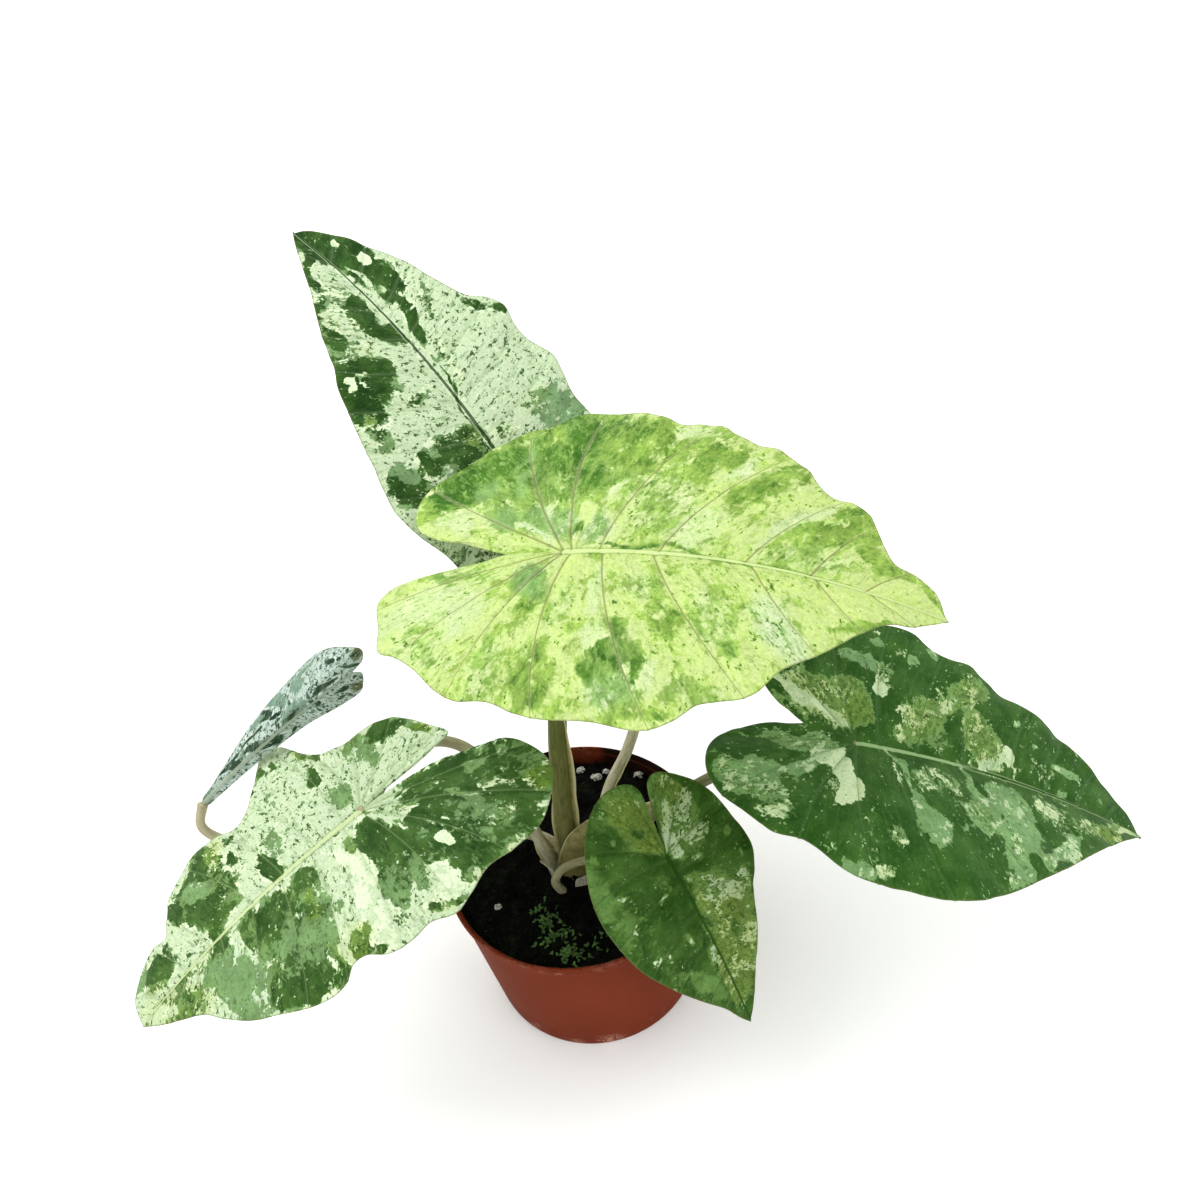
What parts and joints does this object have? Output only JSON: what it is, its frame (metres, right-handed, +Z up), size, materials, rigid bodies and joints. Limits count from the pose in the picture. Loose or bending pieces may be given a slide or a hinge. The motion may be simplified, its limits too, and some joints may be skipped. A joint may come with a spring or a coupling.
{
  "type": "potted variegated alocasia odora",
  "caption": "Young variegated elephant-ear plant in a round tapered nursery pot, with heart-shaped marbled leaves on long stalks.",
  "frame": {"origin": "centre of the pot's flat underside, on the surface it stands on", "axes": "+Z up through the pot, +X to the right as seen from the front, which faces -Y"},
  "size_m": [0.4525, 0.3341, 0.2767],
  "materials": {
    "pot": "thin moulded terracotta-coloured plastic, slight sheen",
    "soil": null,
    "rootstock": "fibrous brown plant stem",
    "perlite": "chalky white expanded grain",
    "dry_scale": "dry papery leaf base",
    "stalk": "smooth succulent stalk, olive beige, slight sheen",
    "leaf_crown": "waxy variegated leaf, soft sheen",
    "leaf_back": "waxy variegated leaf, soft sheen",
    "leaf_right": "waxy variegated leaf, soft sheen",
    "leaf_front": "waxy variegated leaf, soft sheen",
    "leaf_left": "waxy variegated leaf, soft sheen",
    "leaf_rolled": "waxy variegated leaf, soft sheen"
  },
  "bodies": {
    "root": {"pot": "pot", "soil": "soil", "rootstock": "rootstock", "perlite_1": "perlite", "perlite_2": "perlite", "perlite_3": "perlite", "perlite_4": "perlite", "perlite_5": "perlite", "dry_scale_left": "dry_scale", "dry_scale_front": "dry_scale", "leaf_crown_stalk": "stalk", "leaf_crown_blade": "leaf_crown", "leaf_back_stalk": "stalk", "leaf_back_blade": "leaf_back", "leaf_right_stalk": "stalk", "leaf_right_blade": "leaf_right", "leaf_front_stalk": "stalk", "leaf_front_blade": "leaf_front", "leaf_left_stalk": "stalk", "leaf_left_blade": "leaf_left", "leaf_rolled_stalk": "stalk", "leaf_rolled_blade": "leaf_rolled"}
  },
  "joints": []
}
